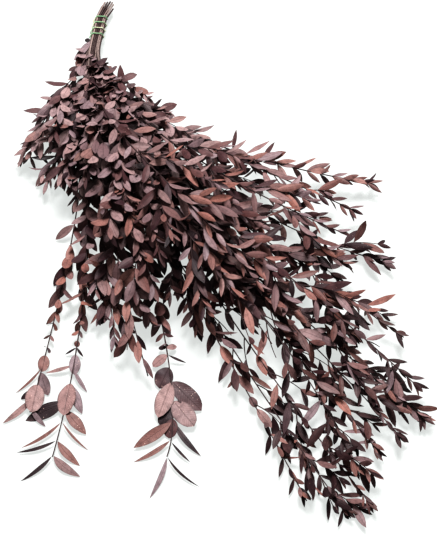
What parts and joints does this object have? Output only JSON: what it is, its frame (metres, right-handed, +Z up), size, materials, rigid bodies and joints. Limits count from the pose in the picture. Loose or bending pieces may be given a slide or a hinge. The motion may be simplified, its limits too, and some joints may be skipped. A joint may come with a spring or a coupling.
{
  "type": "preserved eucalyptus bunch",
  "caption": "Tied bunch of preserved small-leaved eucalyptus stems, dyed burgundy, lying fanned out with trailing sprays.",
  "frame": {"origin": "middle of the bunch's bounding box, at the level of the table it lies on", "axes": "+X from the tie towards the tips of the fan, the bunch's longest way; +Z up, its shortest; +Y towards the side away from the trailing sprays"},
  "size_m": [0.73, 0.5276, 0.1233],
  "materials": {
    "foliage": "satin",
    "elastic": "satin"
  },
  "bodies": {
    "root": {"stem_right_low": "foliage", "stem_trailing_front": "foliage", "stem_trailing_inner": "foliage", "stem_trailing_left": "foliage", "stem_middle_right": "foliage", "stem_front_right": "foliage", "stem_front": "foliage", "stem_front_left": "foliage", "stem_left_short": "foliage", "stem_right_edge": "foliage", "stem_far_tip": "foliage", "stem_middle_tip": "foliage", "stem_middle_long": "foliage", "stem_left_inner": "foliage", "stem_left_edge": "foliage", "stem_right_inner": "foliage", "stem_right_long": "foliage", "stem_upper_right": "foliage", "stem_left_hanging": "foliage", "stem_left_middle": "foliage", "stem_crown_right": "foliage", "stem_upper_middle": "foliage", "stem_crown_middle": "foliage", "stem_crown_left": "foliage", "tie": "elastic"}
  },
  "joints": []
}
